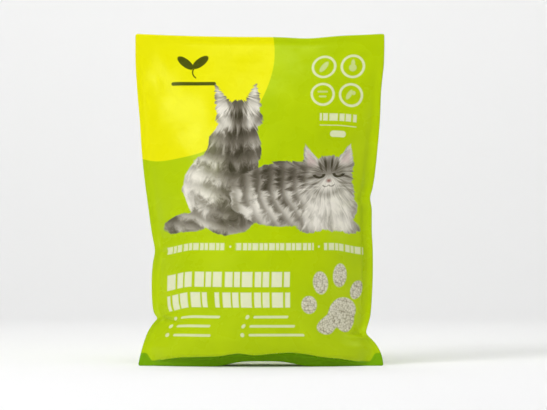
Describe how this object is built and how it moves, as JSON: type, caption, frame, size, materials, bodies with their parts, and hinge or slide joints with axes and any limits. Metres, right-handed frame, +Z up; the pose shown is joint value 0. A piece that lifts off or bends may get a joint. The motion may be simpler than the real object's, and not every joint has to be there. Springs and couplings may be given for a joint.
{
  "type": "cat litter bag",
  "caption": "Sealed stand-up bag of clay cat litter: a filled glossy film pouch with flat heat-sealed sides and top, a flat gusseted base and flared base corners",
  "frame": {"origin": "Under the middle of the bag, on the surface that it stands on", "axes": "+Z up along the height, X across the width with +X at the right of the printed front, -Y out of the printed front"},
  "size_m": [0.285, 0.108, 0.38],
  "materials": {
    "printed_film": "gloss laminate film, printed lime green"
  },
  "bodies": {
    "root": {"litter_bag": "printed_film"}
  },
  "joints": []
}
